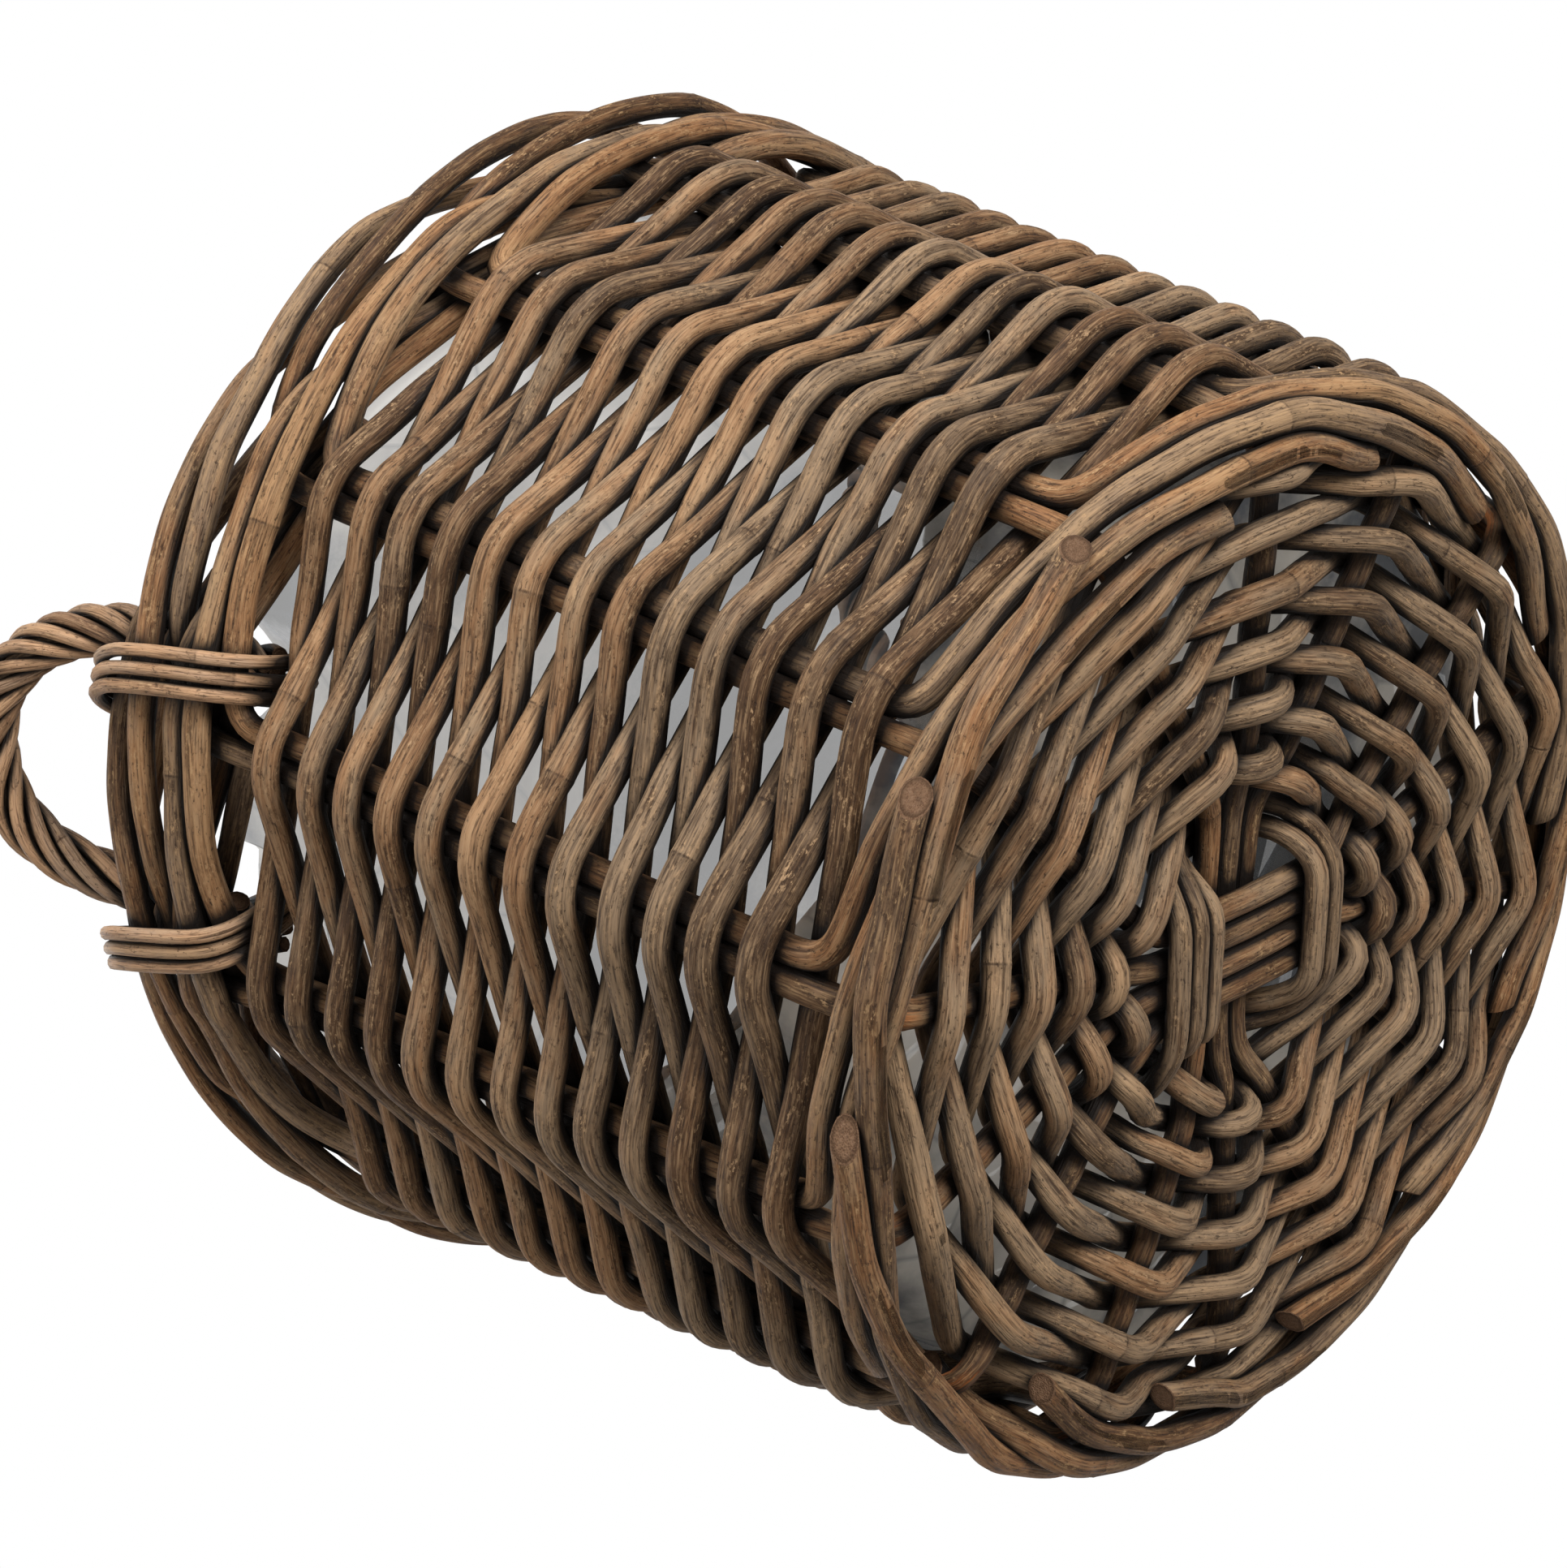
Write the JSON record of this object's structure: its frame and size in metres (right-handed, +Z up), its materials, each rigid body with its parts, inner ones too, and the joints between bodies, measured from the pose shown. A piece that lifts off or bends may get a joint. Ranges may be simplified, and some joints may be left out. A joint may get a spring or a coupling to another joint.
{
  "type": "woven basket",
  "caption": "Round deep woven rattan basket with rolled rim and foot borders, an arched roped handle on each side, cane bindings and a thin film liner, for holding and carrying goods.",
  "frame": {"origin": "middle of the basket on the plane that it rests on", "axes": "+Z up along the basket's axis of symmetry, towards the open mouth; +X towards one handle, -X towards the other"},
  "size_m": [0.5662, 0.5438, 0.5057],
  "materials": {
    "rattan_weaver": "weathered natural rattan rod, matt, with growth rings",
    "rattan_stake": "darker weathered rattan rod, matt",
    "handle_cane": "paler thin cane, slightly smooth",
    "liner_film": "thin translucent crinkled film"
  },
  "bodies": {
    "root": {"frame_rod_1": "rattan_stake", "frame_rod_2": "rattan_stake", "frame_rod_3": "rattan_stake", "frame_rod_4": "rattan_stake", "frame_rod_5": "rattan_stake", "frame_rod_6": "rattan_stake", "frame_rod_7": "rattan_stake", "side_stake_1": "rattan_stake", "side_stake_2": "rattan_stake", "side_stake_3": "rattan_stake", "side_stake_4": "rattan_stake", "side_stake_5": "rattan_stake", "side_stake_6": "rattan_stake", "side_stake_7": "rattan_stake", "side_stake_8": "rattan_stake", "side_stake_9": "rattan_stake", "side_stake_10": "rattan_stake", "side_stake_11": "rattan_stake", "side_stake_12": "rattan_stake", "side_stake_13": "rattan_stake", "side_stake_14": "rattan_stake", "wall_weaver_a_1": "rattan_weaver", "wall_weaver_a_2": "rattan_weaver", "wall_weaver_a_3": "rattan_weaver", "wall_weaver_a_4": "rattan_weaver", "wall_weaver_a_5": "rattan_weaver", "wall_weaver_b_1": "rattan_weaver", "wall_weaver_b_2": "rattan_weaver", "wall_weaver_b_3": "rattan_weaver", "wall_weaver_b_4": "rattan_weaver", "wall_weaver_b_5": "rattan_weaver", "base_weaver_a": "rattan_weaver", "base_weaver_b": "rattan_weaver", "base_tie": "rattan_weaver", "handle_right_core": "rattan_weaver", "handle_right_strand_1": "handle_cane", "handle_right_strand_2": "handle_cane", "handle_right_strand_3": "handle_cane", "handle_right_strand_4": "handle_cane", "handle_right_strand_5": "handle_cane", "handle_right_strand_6": "handle_cane", "handle_left_core": "rattan_weaver", "handle_left_strand_1": "handle_cane", "handle_left_strand_2": "handle_cane", "handle_left_strand_3": "handle_cane", "handle_left_strand_4": "handle_cane", "handle_left_strand_5": "handle_cane", "handle_left_strand_6": "handle_cane", "binding_left_a": "handle_cane", "binding_left_b": "handle_cane", "binding_right_a": "handle_cane", "binding_right_b": "handle_cane", "liner": "liner_film"}
  },
  "joints": []
}
